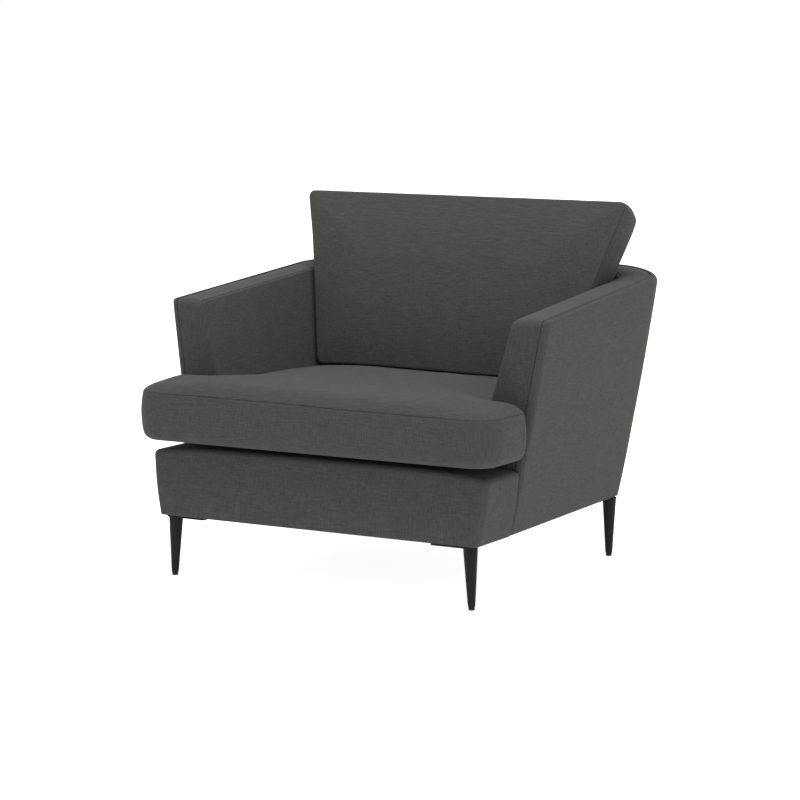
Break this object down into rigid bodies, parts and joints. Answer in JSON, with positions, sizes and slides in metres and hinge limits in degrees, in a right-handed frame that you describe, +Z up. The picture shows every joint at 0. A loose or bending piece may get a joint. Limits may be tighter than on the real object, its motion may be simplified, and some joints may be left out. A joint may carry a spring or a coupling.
{
  "type": "upholstered armchair",
  "caption": "Upholstered armchair with flared padded arms, loose T-shaped seat cushion, loose boxed back cushion and slim tapered legs.",
  "frame": {"origin": "on the floor, under the middle of the chair's outer box", "axes": "+Z up, the seat faces -Y, +X to the right as seen from the front; left and right in the node names are as seen from the front"},
  "size_m": [1.0026, 0.9412, 0.868],
  "materials": {
    "charcoal_cloth": "matt plain weave in charcoal with a fine lighter fleck",
    "black_lining": "matt black non-woven lining",
    "webbing": "woven elastic webbing",
    "hardwood": "planed, unfinished",
    "spring_steel": "drawn wire",
    "black_metal": "satin black powder coat",
    "black_plastic": "matt black"
  },
  "bodies": {
    "chair_body": {"arm_outer_pad_left": "charcoal_cloth", "arm_outer_pad_right": "charcoal_cloth", "arm_inner_pad_left": "charcoal_cloth", "arm_inner_pad_right": "charcoal_cloth", "arm_top_pad_left": "charcoal_cloth", "arm_top_pad_right": "charcoal_cloth", "arm_front_pad_left": "charcoal_cloth", "arm_front_pad_right": "charcoal_cloth", "corner_outer_pad_left": "charcoal_cloth", "corner_outer_pad_right": "charcoal_cloth", "corner_inner_pad_left": "charcoal_cloth", "corner_inner_pad_right": "charcoal_cloth", "corner_top_pad_left": "charcoal_cloth", "corner_top_pad_right": "charcoal_cloth", "rail_end_pad_left": "charcoal_cloth", "rail_end_pad_right": "charcoal_cloth", "back_outer_pad": "charcoal_cloth", "back_inner_pad": "charcoal_cloth", "back_top_pad": "charcoal_cloth", "rail_front_pad": "charcoal_cloth", "rail_top_pad": "charcoal_cloth", "seat_deck": "black_lining", "dust_cover": "black_lining", "back_webbing_1": "webbing", "back_webbing_2": "webbing", "front_seat_rail": "hardwood", "rear_seat_rail": "hardwood", "side_seat_rail_left": "hardwood", "side_seat_rail_right": "hardwood", "corner_block_front_left": "hardwood", "corner_block_front_right": "hardwood", "corner_block_rear_left": "hardwood", "corner_block_rear_right": "hardwood", "arm_front_post_left": "hardwood", "arm_front_post_right": "hardwood", "arm_top_rail_left": "hardwood", "arm_top_rail_right": "hardwood", "back_post_left": "hardwood", "back_post_right": "hardwood", "back_lower_rail": "hardwood", "back_top_rail": "hardwood", "seat_spring_1": "spring_steel", "seat_spring_2": "spring_steel", "seat_spring_3": "spring_steel", "seat_spring_4": "spring_steel", "seat_spring_5": "spring_steel", "leg_front_left": "black_metal", "leg_front_right": "black_metal", "leg_rear_left": "black_metal", "leg_rear_right": "black_metal", "leg_plate_front_left": "black_metal", "leg_plate_front_right": "black_metal", "leg_plate_rear_left": "black_metal", "leg_plate_rear_right": "black_metal", "foot_glide_front_left": "black_plastic", "foot_glide_front_right": "black_plastic", "foot_glide_rear_left": "black_plastic", "foot_glide_rear_right": "black_plastic"},
    "seat_cushion": {"seat_cushion": "charcoal_cloth"},
    "back_cushion": {"back_cushion": "charcoal_cloth"}
  },
  "joints": [
    {"name": "seat_cushion_pull", "type": "slide", "parent": "chair_body", "child": "seat_cushion", "axis": [0, -1, 0], "range_m": [0, 0.55]},
    {"name": "back_cushion_lift", "type": "slide", "parent": "chair_body", "child": "back_cushion", "axis": [0, 0, 1], "range_m": [0, 0.3]}
  ]
}
